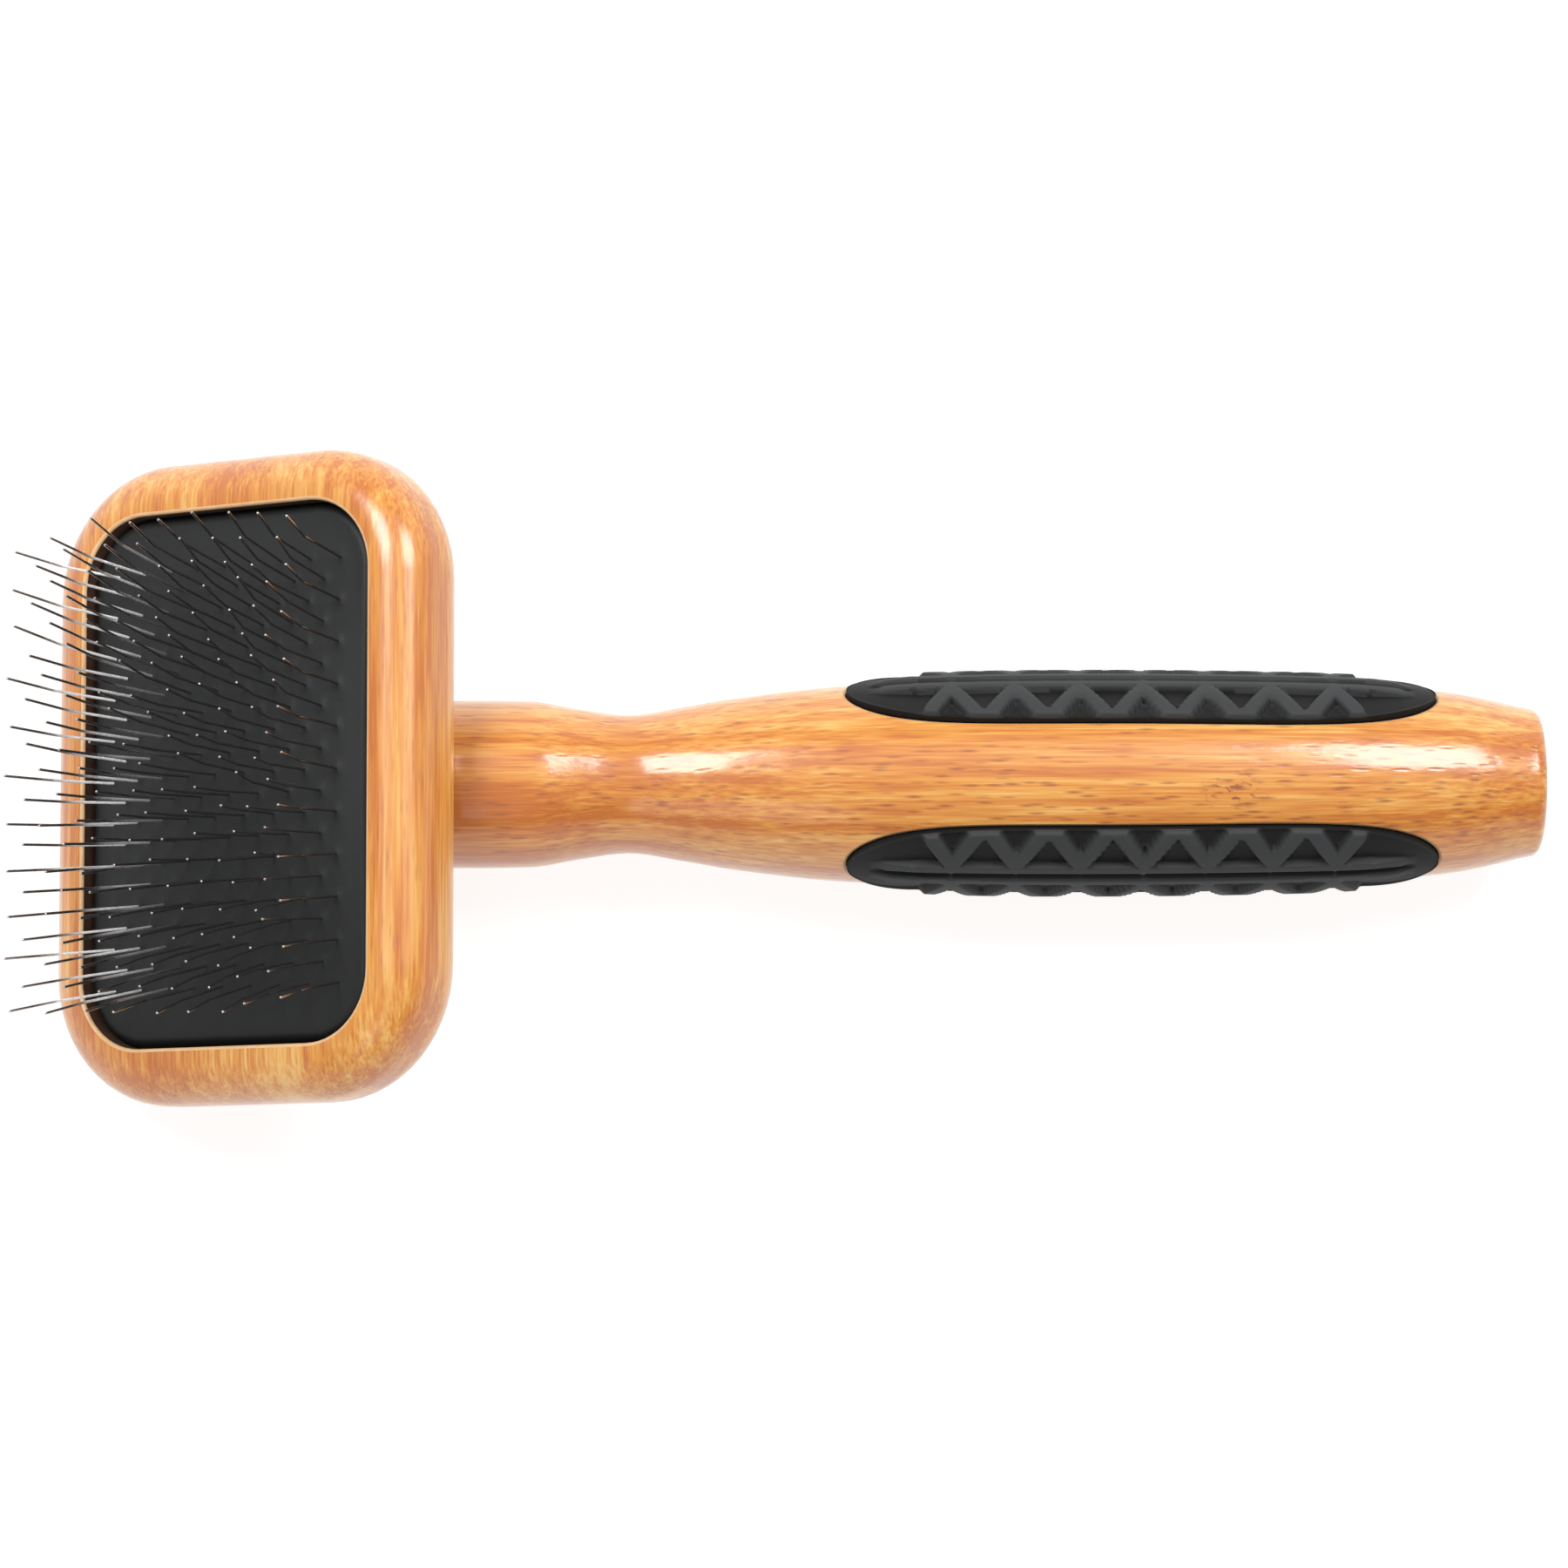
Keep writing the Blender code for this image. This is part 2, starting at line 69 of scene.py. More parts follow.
# The head's frame: u runs up from its foot edge, v along that edge, and w out of its front, 0 at the rim.
turned_head = Matrix.Rotation(-tilt, 4, "Y")
slab_low, slab_high = local_span("head_block", turned_head)
head_size = slab_high - slab_low
HEAD = turned_head @ Matrix.Translation(((slab_low.x + slab_high.x) / 2, 0.0, slab_high.z))
pad_low, pad_high = local_span("rubber_face", HEAD)

# The handle's frame: z along its axis from where that meets the head's back, x down.
back_centre = HEAD @ Vector((0.0, 0.0, -head_size.z))
axis_start = Vector((back_centre.x - (butt.z - back_centre.z) * head_normal.z / head_normal.x, 0.0, butt.z))
HANDLE = Matrix.Translation(axis_start) @ Matrix.Rotation(math.pi / 2, 4, "Y")

# ------------------------------------------------------------------ the design's own sizes
HEAD_CORNER = 19.5 * MM
HEAD_FILLET = 6.6 * MM
CORNER_SEGMENTS = 14
POCKET_CORNER = 10.4 * MM
POCKET_DEPTH = 9.5 * MM
POCKET_CHAMFER = 0.5 * MM
GAP = 0.3 * MM                      # the rubber face's clearance in its pocket
pocket_size = (pad_high.x - pad_low.x + 2 * GAP, pad_high.y - pad_low.y + 2 * GAP)

PAD_EDGE_DEPTH = 1.8 * MM
PAD_RISE = 3.2 * MM
RUBBER_THICKNESS = 1.4 * MM
EDGE_ROLL = 1.6 * MM                # the rubber rolls down into the pocket by this much at its wall
COLLAR_HEIGHT = 0.22 * MM           # the rubber that a wire lifts round itself
COLLAR_RADIUS = 0.6 * MM
PAD_COLUMNS = 110
PAD_CLEARANCE = GAP / 3

PIN_ROWS = 21
LONG_ROW_PINS = 9
ROW_PITCH = 3.05 * MM
PIN_PITCH = 5.0 * MM
WIRE_RADIUS = 0.2 * MM
KNEE_RADIUS = 2.2 * MM
PIN_ROOT = 2.8 * MM                 # hidden under the rubber's surface
PIN_LOWER = 10.0 * MM               # from the rubber to the knee
PIN_UPPER = 9.6 * MM                # from the knee to the tip
PIN_LEAN = math.radians(1.0)
EDGE_LEAN = math.radians(9.0)       # more lean for the outer pins of a row
PIN_BEND = math.radians(16.5)
FAN_LONG = math.radians(15.0)       # splay of the first and last rows
FAN_SHORT = math.radians(13.5)      # splay of the outer pins of a row
CORNER_EASE = 0.35                  # the dome's corners are flatter, so their pins splay less
STRAY_TURN = math.radians(1.3)      # how far a wire stands out of true
STRAY_BEND = math.radians(1.5)
TIP_TURNS = [math.radians(degrees) for degrees in (0, 30, 60, 80)]      # rings of the rounded tip

BUTT_CORNER = 1.6 * MM
# Distance along the axis and radius, in millimetres.
HANDLE_STATIONS = [(-22, 12.2), (10, 12.2), (36, 12.2), (43, 11.1), (50.5, 10.2), (58, 11.3), (66, 12.65),
                   (80, 14.25), (98, 15.05), (120, 15.25), (143, 15.0), (158, 14.5), (172, 13.2),
                   (182.7, 10.95)]
RING_STEP = 1.5 * MM
HANDLE_SEGMENTS = 160
HEAD_CLEARANCE = 0.02 * MM
KNUCKLE_PLACE = (-14.9 * MM, -2.6 * MM, 138.0 * MM)
KNUCKLE_SCALE = (160.0, 300.0, 190.0)       # one over its half size in metres

GRIP_TURNS = {"grip_left": 61.0, "grip_right": -61.0, "grip_back": 180.0}
GRIP_CENTRE = 125.4 * MM
GRIP_LENGTH = 86.6 * MM
GRIP_WIDTH = 16.6 * MM              # measured round the wood
GRIP_FULLNESS = 5                   # power that sets how blunt the grip's ends are
GRIP_INSET = 2.0 * MM
GRIP_PROUD = 1.5 * MM
GRIP_CLEARANCE = 0.15 * MM          # between the rubber and its pocket's wall
GRIP_GRID = (320, 72)               # steps along and across
POCKET_GRID = (160, 12)
POCKET_LIP = 0.35 * MM              # chamfer where a grip's pocket meets the handle's surface
THINNEST = 0.02 * MM                # half width of the outline at its very tips
PLAIN_TIP = 0.76                    # the tips slope down beyond this part of the half length
TIP_HEIGHT = 0.35 * MM              # over the wood, at the very tips
ROUND_DROP = 0.7 * MM               # the top's border is rounded down by this much
ROUND_WIDTH = 0.6 * MM
BASIN_DEPTH = 1.15 * MM             # of the recesses between ribs
BASIN_EDGE = 0.5 * MM               # the recesses fade out over this at the grip's border
GROOVE_DEPTH = 0.3 * MM
GROOVE_HALF_WIDTH = 0.55 * MM
FLANK_PLACE = 1.35 * MM             # the two straight ribs, from the grip's middle line
FLANK_HALF_WIDTH = 0.95 * MM
FLANK_END = 0.93                    # they end at this part of the half length
FLANK_FADE = 0.06                   # and fade out over this
ZIGZAG_PITCH = 9.32 * MM
ZIGZAG_NEAR = 2.2 * MM              # its corners nearest to the middle line
ZIGZAG_FAR = 8.8 * MM
ZIGZAG_HALF_WIDTH = 1.6 * MM
ZIGZAG_REACH = 3.5 * ZIGZAG_PITCH   # either way from the grip's centre
RIB_END = 0.8 * MM                  # the zigzag fades out over this at its ends


# ------------------------------------------------------------------ mesh helpers
def link(name, mesh, matrix=Matrix.Identity(4)):
    piece = bpy.data.objects.new(name, mesh)
    piece.matrix_world = matrix
    bpy.context.scene.collection.objects.link(piece)
    return piece


def finish_mesh(bm, name):
    bmesh.ops.recalc_face_normals(bm, faces=bm.faces)
    mesh = bpy.data.meshes.new(name)
    bm.to_mesh(mesh)
    bm.free()
    return mesh


def shade(piece, degrees):
    """Smooth shading, sharp where faces meet at more than this angle."""
    piece.data.shade_smooth()
    piece.data.set_sharp_from_angle(angle=math.radians(degrees))


def apply_modifiers(piece):
    """Keeps the evaluated mesh and drops the modifiers."""
    graph = bpy.context.evaluated_depsgraph_get()
    mesh = bpy.data.meshes.new_from_object(piece.evaluated_get(graph), depsgraph=graph)
    piece.modifiers.clear()
    piece.data = mesh


def loft(bm, rings, closed=True):
    """Quads between rings that all have the same number of points."""
    count = len(rings[0])
    faces = []
    for low, high in zip(rings, rings[1:]):
        for k in range(count if closed else count - 1):
            quad = (low[k], low[(k + 1) % count], high[(k + 1) % count], high[k])
            faces.append(bm.faces.new(quad))
    return faces


def outline(width, length, radius):
    """Points round a rectangle with round corners."""
    points = []
    for corner, (sx, sy) in enumerate(((1, 1), (-1, 1), (-1, -1), (1, -1))):
        for k in range(CORNER_SEGMENTS + 1):
            turn = math.pi / 2 * (corner + k / CORNER_SEGMENTS)
            points.append((sx * (width / 2 - radius) + radius * math.cos(turn),
                           sy * (length / 2 - radius) + radius * math.sin(turn)))
    return points


# ------------------------------------------------------------------ shapes that follow a rule
def pad_height(u, v):
    """Height of the domed rubber over the head's rim."""
    across = 1.0 - min(1.0, abs(2 * u / pocket_size[0])) ** 2
    along = 1.0 - min(1.0, abs(2 * v / pocket_size[1])) ** 2
    return -PAD_EDGE_DEPTH + PAD_RISE * across * along


def handle_radius(z):
    """Smooth curve through the handle's stations."""
    points = [(s * MM, r * MM) for s, r in HANDLE_STATIONS]
    last = len(points) - 2
    i = min(last, max(0, sum(z >= s for s, _ in points) - 1))
    (z0, r0), (z1, r1) = points[i], points[i + 1]

    def slope(k):
        low, high = points[max(k - 1, 0)], points[min(k + 1, last + 1)]
        return (high[1] - low[1]) / (high[0] - low[0])

    span = z1 - z0
    t = (z - z0) / span
    return ((2 * t**3 - 3 * t**2 + 1) * r0 + (t**3 - 2 * t**2 + t) * span * slope(i)
            + (3 * t**2 - 2 * t**3) * r1 + (t**3 - t**2) * span * slope(i + 1))


# ------------------------------------------------------------------ materials
class Graph:
    """Short spellings for building a node tree."""

    def __init__(self, name):
        self.material = bpy.data.materials.new(name)
        self.material.use_nodes = True
        self.tree = self.material.node_tree
        self.shader = self.tree.nodes["Principled BSDF"]

    def node(self, kind, inputs=None, **settings):
        node = self.tree.nodes.new(kind)
        for key, value in settings.items():
            setattr(node, key, value)
        for key, value in (inputs or {}).items():
            self.set(node.inputs[key], value)
        return node

    def set(self, socket, value):
        if isinstance(value, bpy.types.NodeSocket):
            self.tree.links.new(value, socket)
        else:
            socket.default_value = value

    def maths(self, operation, a, b=0.0, clamp=False):
        node = self.node("ShaderNodeMath", {0: a, 1: b}, operation=operation, use_clamp=clamp)
        return node.outputs[0]

    def scaled(self, vector, scale):
        node = self.node("ShaderNodeVectorMath", {0: vector, 1: scale}, operation="MULTIPLY")
        return node.outputs[0]

    def noise(self, vector, scale, detail=2.0, roughness=0.5, distortion=0.0):
        inputs = {"Vector": vector, "Scale": scale, "Detail": detail, "Roughness": roughness,
                  "Distortion": distortion}
        return self.node("ShaderNodeTexNoise", inputs).outputs["Fac"]

    def ramp(self, factor, *stops):
        node = self.node("ShaderNodeValToRGB", {"Fac": factor})
        elements = node.color_ramp.elements
        while len(elements) < len(stops):
            elements.new(0.5)
        for element, (place, colour) in zip(elements, stops):
            element.position = place
            value = colour if isinstance(colour, tuple) else (colour, colour, colour)
            element.color = (*value, 1.0)
        return node.outputs["Color"]

    def mix(self, factor, a, b):
        node = self.node("ShaderNodeMix", data_type="RGBA")
        self.set(node.inputs["Factor"], factor)
        for socket, value in ((node.inputs[6], a), (node.inputs[7], b)):
            self.set(socket, (*value, 1.0) if isinstance(value, tuple) else value)
        return node.outputs[2]

    def bump(self, height, distance, strength):
        inputs = {"Height": height, "Distance": distance, "Strength": strength}
        return self.node("ShaderNodeBump", inputs).outputs["Normal"]

    def principled(self, **values):
        for key, value in values.items():
            self.set(self.shader.inputs[key.replace("_", " ")], value)
        return self.material


def srgb(r, g, b):
    """Linear colour from 0-255 display values."""
    return tuple((c / 255 / 12.92) if c <= 10 else ((c / 255 + 0.055) / 1.055) ** 2.4 for c in (r, g, b))


ALBEDO = 0.7                        # the lights give white paper 1 / 0.7 of the light that shows as white


def lit(r, g, b):
    """Surface colour that shows as these display values under this studio's lights."""
    return tuple(ALBEDO * c for c in srgb(r, g, b))


PALE_BAMBOO = lit(245, 188, 98)
BAMBOO = lit(230, 150, 50)
DARK_BAMBOO = lit(206, 112, 22)
VESSEL = lit(164, 84, 26)


def bamboo(name, along, strip, strip_width, strip_start, coat_roughness, open_vessels, knuckle=None):
    """Laminated caramel bamboo under clear lacquer, with its fibres along one axis of the piece.

    Every texture is stretched along the fibres: broad tone, streaks, fine fibres, and the short dark dashes
    of the cut vessels. The strips of the lamination differ a little in tone, with a thin joint between them.
    A knuckle is a place with a few dark curved marks, as a node of the cane leaves them.
    """
    g = Graph(name)
    place = g.node("ShaderNodeTexCoord").outputs["Object"]
    axes = {"x": 0, "y": 1, "z": 2}

    def stretched(long, across):
        scale = [across] * 3
        scale[axes[along]] = long
        return g.scaled(place, tuple(scale))

    parts = g.node("ShaderNodeSeparateXYZ", {0: place}).outputs
    strips = g.maths("DIVIDE", g.maths("SUBTRACT", parts[axes[strip]], strip_start), strip_width)
    strip_tone = g.node("ShaderNodeTexWhiteNoise", {"W": g.maths("FLOOR", strips)},
                        noise_dimensions="1D").outputs["Value"]
    from_joint = g.maths("PINGPONG", strips, 0.5)
    joint = g.maths("LESS_THAN", from_joint, 0.08 * MM / strip_width)

    broad = g.noise(stretched(9.0, 120.0), 1.0, 3.0, 0.5)
    streaks = g.noise(stretched(26.0, 620.0), 1.0, 3.0, 0.55)
    fibres = g.noise(stretched(60.0, 2400.0), 1.0, 2.0, 0.6)
    cells = g.node("ShaderNodeTexVoronoi", {"Vector": stretched(210.0, 1300.0), "Scale": 1.0})
    dashes = g.ramp(cells.outputs["Distance"], (0.1, 1.0), (0.38, 0.0))
    patches = g.ramp(g.noise(stretched(24.0, 110.0), 1.0, 2.0), (0.38, 0.35), (0.56, 1.0))
    vessels = g.maths("MULTIPLY", g.maths("MULTIPLY", dashes, patches), open_vessels)

    tone = g.maths("ADD", g.maths("MULTIPLY", broad, 0.42), g.maths("MULTIPLY", streaks, 0.4))
    tone = g.maths("ADD", tone, g.maths("MULTIPLY", fibres, 0.36))
    tone = g.maths("ADD", tone, g.maths("MULTIPLY", strip_tone, 0.1))
    colour = g.ramp(tone, (0.53, DARK_BAMBOO), (0.64, BAMBOO), (0.75, PALE_BAMBOO))
    colour = g.mix(vessels, colour, VESSEL)
    colour = g.mix(g.maths("MULTIPLY", joint, 0.25), colour, VESSEL)
    if knuckle:
        offset = g.node("ShaderNodeVectorMath", {0: place, 1: knuckle}, operation="SUBTRACT").outputs[0]
        reach = g.node("ShaderNodeVectorMath", {0: g.scaled(offset, KNUCKLE_SCALE)}, operation="LENGTH")
        near = g.ramp(reach.outputs["Value"], (0.35, 1.0), (1.0, 0.0))
        marks = g.ramp(g.noise(stretched(330.0, 700.0), 1.0, 1.0, 0.5, 1.6), (0.52, 0.0), (0.6, 1.0))
        colour = g.mix(g.maths("MULTIPLY", near, marks), colour, VESSEL)
    height = g.maths("SUBTRACT", g.maths("MULTIPLY", fibres, 0.35), g.maths("MULTIPLY", vessels, 0.8))
    lacquer = g.maths("ADD", g.noise(stretched(220.0, 620.0), 1.0, 3.0), g.maths("MULTIPLY", vessels, -0.4))
    return g.principled(Base_Color=colour, Roughness=0.45, Normal=g.bump(height, 0.06 * MM, 0.6),
                        Coat_Weight=1.0, Coat_Roughness=coat_roughness, Coat_IOR=1.55,
                        Coat_Normal=g.bump(lacquer, 0.1 * MM, 0.6))


def shaded_wall(name):
    """The pocket's wall: matt, and painted dark brown to near black as the shade that falls in the deep pocket."""
    g = Graph(name)
    place = g.scaled(g.node("ShaderNodeTexCoord").outputs["Object"], (900.0, 60.0, 900.0))
    colour = g.mix(g.noise(place, 1.0, 3.0), lit(46, 26, 14), lit(84, 48, 26))
    return g.principled(Base_Color=colour, Roughness=0.8)


def paint_edge_highlight(name):
    """The narrow edges of the pockets, painted pale: a painted highlight where their rounded edges catch the
    light.
    """
    g = Graph(name)
    place = g.scaled(g.node("ShaderNodeTexCoord").outputs["Object"], (700.0, 90.0, 700.0))
    colour = g.mix(g.noise(place, 1.0, 3.0), lit(232, 176, 112), lit(252, 214, 168))
    return g.principled(Base_Color=colour, Roughness=0.35)


def rubber(name, low, high, roughness, raised=None):
    """Moulded black rubber. raised names a mesh attribute that is 1 on the ribs, which are paler; the recesses
    between them are painted dark as the shade that falls in them.
    """
    g = Graph(name)
    place = g.node("ShaderNodeTexCoord").outputs["Object"]
    grain = g.noise(place, 5200.0, 2.0)
    cloud = g.noise(place, 90.0, 3.0)
    factor = cloud
    if raised:
        height = g.node("ShaderNodeAttribute", attribute_name=raised).outputs["Fac"]
        factor = g.maths("ADD", g.maths("MULTIPLY", height, 0.8), g.maths("MULTIPLY", cloud, 0.2))
    colour = g.mix(factor, lit(*low), lit(*high))
    return g.principled(Base_Color=colour, Roughness=roughness, Normal=g.bump(grain, 0.04 * MM, 0.35),
                        Specular_IOR_Level=0.25)


def steel(name, colour, roughness):
    """Plain drawn or plated steel, a little uneven in tone."""
    g = Graph(name)
    place = g.node("ShaderNodeTexCoord").outputs["Object"]
    drawn = g.noise(place, 2600.0, 2.0)
    tone = g.mix(drawn, tuple(0.8 * c for c in srgb(*colour)), srgb(*colour))
    return g.principled(Base_Color=tone, Metallic=1.0, Roughness=roughness,
                        Normal=g.bump(drawn, 0.01 * MM, 0.3))


def pin_wire(name):
    """Polished drawn wire; below the knee near the head's foot edge it is rougher, less metallic and painted near
    white, a painted highlight where those wires catch the light.
    """
    g = Graph(name)
    place = g.node("ShaderNodeTexCoord").outputs["Object"]
    parts = g.node("ShaderNodeSeparateXYZ", {0: place}).outputs

    def below(value, start, span):
        """0 over the start, rising to 1 where the value is a span lower."""
        return g.maths("DIVIDE", g.maths("SUBTRACT", start, value), span, clamp=True)

    near_foot_edge = below(parts[0], -7 * MM, 11 * MM)
    below_knee = below(parts[2], 12 * MM, 6 * MM)
    drawn = g.noise(place, 2600.0, 2.0)
    # painted highlight: the wires low down near the foot edge turn white
    painted_glint = g.maths("MULTIPLY", near_foot_edge, below_knee)
    painted_glint = g.maths("MULTIPLY", painted_glint, g.maths("ADD", drawn, 0.4), clamp=True)
    polished = g.mix(drawn, srgb(150, 146, 144), srgb(186, 182, 180))
    return g.principled(Base_Color=g.mix(painted_glint, polished, srgb(250, 250, 250)),
                        Metallic=g.maths("SUBTRACT", 1.0, g.maths("MULTIPLY", painted_glint, 0.6)),
                        Roughness=g.maths("ADD", 0.22, g.maths("MULTIPLY", painted_glint, 0.3)))


def woven(name, low, high):
    """Plain weave with about a thread to the millimetre."""
    g = Graph(name)
    place = g.node("ShaderNodeTexCoord").outputs["Object"]
    parts = g.node("ShaderNodeSeparateXYZ", {0: place}).outputs
    warp = g.maths("SINE", g.maths("MULTIPLY", parts[0], 6000.0))
    weft = g.maths("SINE", g.maths("MULTIPLY", parts[1], 6000.0))
    threads = g.maths("MULTIPLY", warp, weft)
    over = g.maths("ADD", g.maths("MULTIPLY", threads, 0.5), 0.5)
    colour = g.mix(over, srgb(*low), srgb(*high))
    return g.principled(Base_Color=colour, Roughness=0.9, Normal=g.bump(threads, 0.1 * MM, 0.6))


def foam(name):
    """Open-cell foam."""
    g = Graph(name)
    place = g.node("ShaderNodeTexCoord").outputs["Object"]
    cells = g.node("ShaderNodeTexVoronoi", {"Vector": place, "Scale": 1500.0}).outputs["Distance"]
    colour = g.mix(cells, srgb(150, 140, 110), srgb(214, 206, 176))
    return g.principled(Base_Color=colour, Roughness=0.95, Normal=g.bump(cells, 0.3 * MM, 0.8))


# ------------------------------------------------------------------ head
def make_head(wood, wall, edge):
    """The slab with rounded edges and its pocket with a thin round chamfer, lofted from back to floor."""
    width, length, thickness = head_size
    bm = bmesh.new()
    rings = []

    def add_ring(points, w):
        rings.append([bm.verts.new((u, v, w)) for u, v in points])

    def outer(inset):
        return outline(width - 2 * inset, length - 2 * inset, HEAD_CORNER - inset)

    steps = 10
    turns = [math.pi / 2 * k / steps for k in range(steps + 1)]
    for turn in turns:
        add_ring(outer(HEAD_FILLET * (1 - math.sin(turn))), -thickness + HEAD_FILLET * (1 - math.cos(turn)))
    for turn in reversed(turns):
        add_ring(outer(HEAD_FILLET * (1 - math.sin(turn))), -HEAD_FILLET * (1 - math.cos(turn)))
    chamfer_steps = 3
    for k in range(chamfer_steps + 1):
        turn = math.pi / 2 * k / chamfer_steps
        growth = POCKET_CHAMFER * (1 - math.sin(turn))
        add_ring(outline(pocket_size[0] + 2 * growth, pocket_size[1] + 2 * growth, POCKET_CORNER + growth),
                 -POCKET_CHAMFER * (1 - math.cos(turn)))
    add_ring(outline(*pocket_size, POCKET_CORNER), -POCKET_DEPTH)
    rim_ring = len(rings) - chamfer_steps - 2
    materials = [wood, wall, edge]
    loft(bm, rings[:rim_ring + 1])
    for face in loft(bm, rings[rim_ring:-1]):
        face.material_index = materials.index(edge)
    for face in loft(bm, rings[-2:]):
        face.material_index = materials.index(wall)
    bm.faces.new(rings[0])
    bm.faces.new(rings[-1])
    head = link("head_wood", finish_mesh(bm, "head_wood"), HEAD)
    shade(head, 50)
    weighted = head.modifiers.new("flat faces stay flat", "WEIGHTED_NORMAL")
    weighted.keep_sharp = True
    for material in materials:
        head.data.materials.append(material)
    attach(head, "brush_body")
    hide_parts("head_block")


# ------------------------------------------------------------------ pad
def row_place(row):
    """Where a row lies along the head."""
    return (row - (PIN_ROWS - 1) / 2) * ROW_PITCH


def pin_feet():
    """(row, u, v) of every pin's foot on the pad."""
    feet = []
    for row in range(PIN_ROWS):
        count = LONG_ROW_PINS - row % 2
        for k in range(count):
            feet.append((row, (k - (count - 1) / 2) * PIN_PITCH, row_place(row)))
    return feet


def pad_grid(columns, clearance):
    """Rows of (u, v) that fill the pocket's rounded rectangle."""
    width, length = pocket_size[0] - 2 * clearance, pocket_size[1] - 2 * clearance
    corner = POCKET_CORNER - clearance
    straight = length / 2 - corner
    straight_steps = 90
    places = [straight * (2 * k / straight_steps - 1) for k in range(straight_steps + 1)]
    arc_steps = 14
    ends = [straight + corner * math.sin(math.pi / 2 * k / arc_steps) for k in range(1, arc_steps + 1)]
    places = [-v for v in reversed(ends)] + places + ends
    rows = []
    for v in places:
        past = max(0.0, abs(v) - straight)
        half = width / 2 - corner + math.sqrt(max(0.0, corner**2 - past**2))
        rows.append([(half * (2 * k / columns - 1), v) for k in range(columns + 1)])
    return rows


def make_pad(material):
    """The domed rubber face. The wires lift a small collar of rubber where they come through."""
    points = np.array(pad_grid(PAD_COLUMNS, PAD_CLEARANCE))
    heights = np.vectorize(pad_height)(points[..., 0], points[..., 1])
    for _, u, v in pin_feet():
        distance = np.hypot(points[..., 0] - u, points[..., 1] - v)
        heights += COLLAR_HEIGHT * np.exp(-(distance / COLLAR_RADIUS) ** 2)
    across = pocket_size[0] / 2 - np.abs(points[..., 0])
    along = pocket_size[1] / 2 - np.abs(points[..., 1])
    corner_u, corner_v = POCKET_CORNER - across, POCKET_CORNER - along
    in_corner = (corner_u > 0) & (corner_v > 0)
    from_wall = np.where(in_corner, POCKET_CORNER - np.hypot(corner_u, corner_v), np.minimum(across, along))
    heights -= EDGE_ROLL * np.clip(1 - from_wall / EDGE_ROLL, 0, 1) ** 2
    bm = bmesh.new()
    grid = [[bm.verts.new((*points[i, j], heights[i, j])) for j in range(points.shape[1])]
            for i in range(points.shape[0])]
    loft(bm, grid, closed=False)
    pad = link("pad_rubber", finish_mesh(bm, "pad_rubber"), HEAD)
    if pad.data.polygons[0].normal.z < 0:
        pad.data.flip_normals()
    thick = pad.modifiers.new("thickness", "SOLIDIFY")
    thick.thickness = RUBBER_THICKNESS
    thick.offset = -1.0
    apply_modifiers(pad)
    shade(pad, 60)
    pad.data.materials.clear()
    pad.data.materials.append(material)
    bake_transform(pad)
    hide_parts("rubber_face")


# ------------------------------------------------------------------ pins
def wire_points(root, knee, tip):
    """Points of a wire with its knee and its tip rounded, each with its part of the full width."""
    before, after = (root - knee).normalized(), (tip - knee).normalized()
    half = before.angle(after) / 2
    reach = KNEE_RADIUS / math.tan(half)
    centre = knee + (before + after).normalized() * KNEE_RADIUS / math.sin(half)
    start, end = (knee + side * reach - centre for side in (before, after))
    arc = [centre + KNEE_RADIUS * start.normalized().slerp(end.normalized(), k / 4) for k in range(5)]
    nose = [(tip + after * WIRE_RADIUS * (math.sin(turn) - 1), math.cos(turn)) for turn in TIP_TURNS]
    return [(place, 1.0) for place in [root] + arc] + nose


def make_pins(material):
    """Round bent wires, each a little out of true, one piece for each row."""
    rng = random.Random(11)
    last_row = row_place(PIN_ROWS - 1)
    last_pin = (LONG_ROW_PINS - 1) / 2 * PIN_PITCH
    wires = {}
    for row, u, v in pin_feet():
        corner = 1.0 - CORNER_EASE * (u / last_pin) ** 2 * (v / last_row) ** 2
        splay = FAN_LONG * v / last_row * corner + rng.gauss(0.0, STRAY_TURN)
        outward = u / last_pin
        lean = PIN_LEAN - FAN_SHORT * outward + EDGE_LEAN * outward**2 + rng.gauss(0.0, STRAY_TURN)
        bend = PIN_BEND + rng.gauss(0.0, STRAY_BEND)
        plane = Matrix.Rotation(-splay, 3, "X")
        lower = plane @ Vector((-math.sin(lean), 0.0, math.cos(lean)))
        upper = plane @ Vector((-math.sin(lean - bend), 0.0, math.cos(lean - bend)))
        foot = Vector((u, v, pad_height(u, v)))
        knee = foot + lower * PIN_LOWER * rng.uniform(0.97, 1.02)
        tip = knee + upper * PIN_UPPER * rng.uniform(0.95, 1.01)
        wires.setdefault(row, []).append(wire_points(foot - lower * PIN_ROOT, knee, tip))
    for row, lines in wires.items():
        curve = bpy.data.curves.new(f"wires_{row + 1:02d}", "CURVE")
        curve.dimensions = "3D"
        curve.bevel_depth = WIRE_RADIUS
        curve.bevel_resolution = 2
        curve.use_fill_caps = True
        for line in lines:
            spline = curve.splines.new("POLY")
            spline.points.add(len(line) - 1)
            for point, (place, width) in zip(spline.points, line):
                point.co = (*place, 1.0)
                point.radius = width
            spline.use_smooth = True
        wire = link(f"wires_{row + 1:02d}", curve, HEAD)
        curve.materials.append(material)
        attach(wire, "pin_pad")
        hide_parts(f"pin_row_{row + 1:02d}")


# ------------------------------------------------------------------ handle
def on_handle(along, round_wood, offset, turn):
    """A point over the wood by offset, at a distance along the handle and round it from a grip's middle."""
    radius = handle_radius(along)
    angle = turn + round_wood / radius
    reach = radius + offset
    return (-reach * math.cos(angle), -reach * math.sin(angle), along)


def lens_edge(part, growth):
    """Half width of the grip's outline, at part from -1 to 1 of its half length."""
    return (GRIP_WIDTH / 2) * math.sqrt(max(0.0, 1 - abs(part) ** GRIP_FULLNESS)) + growth


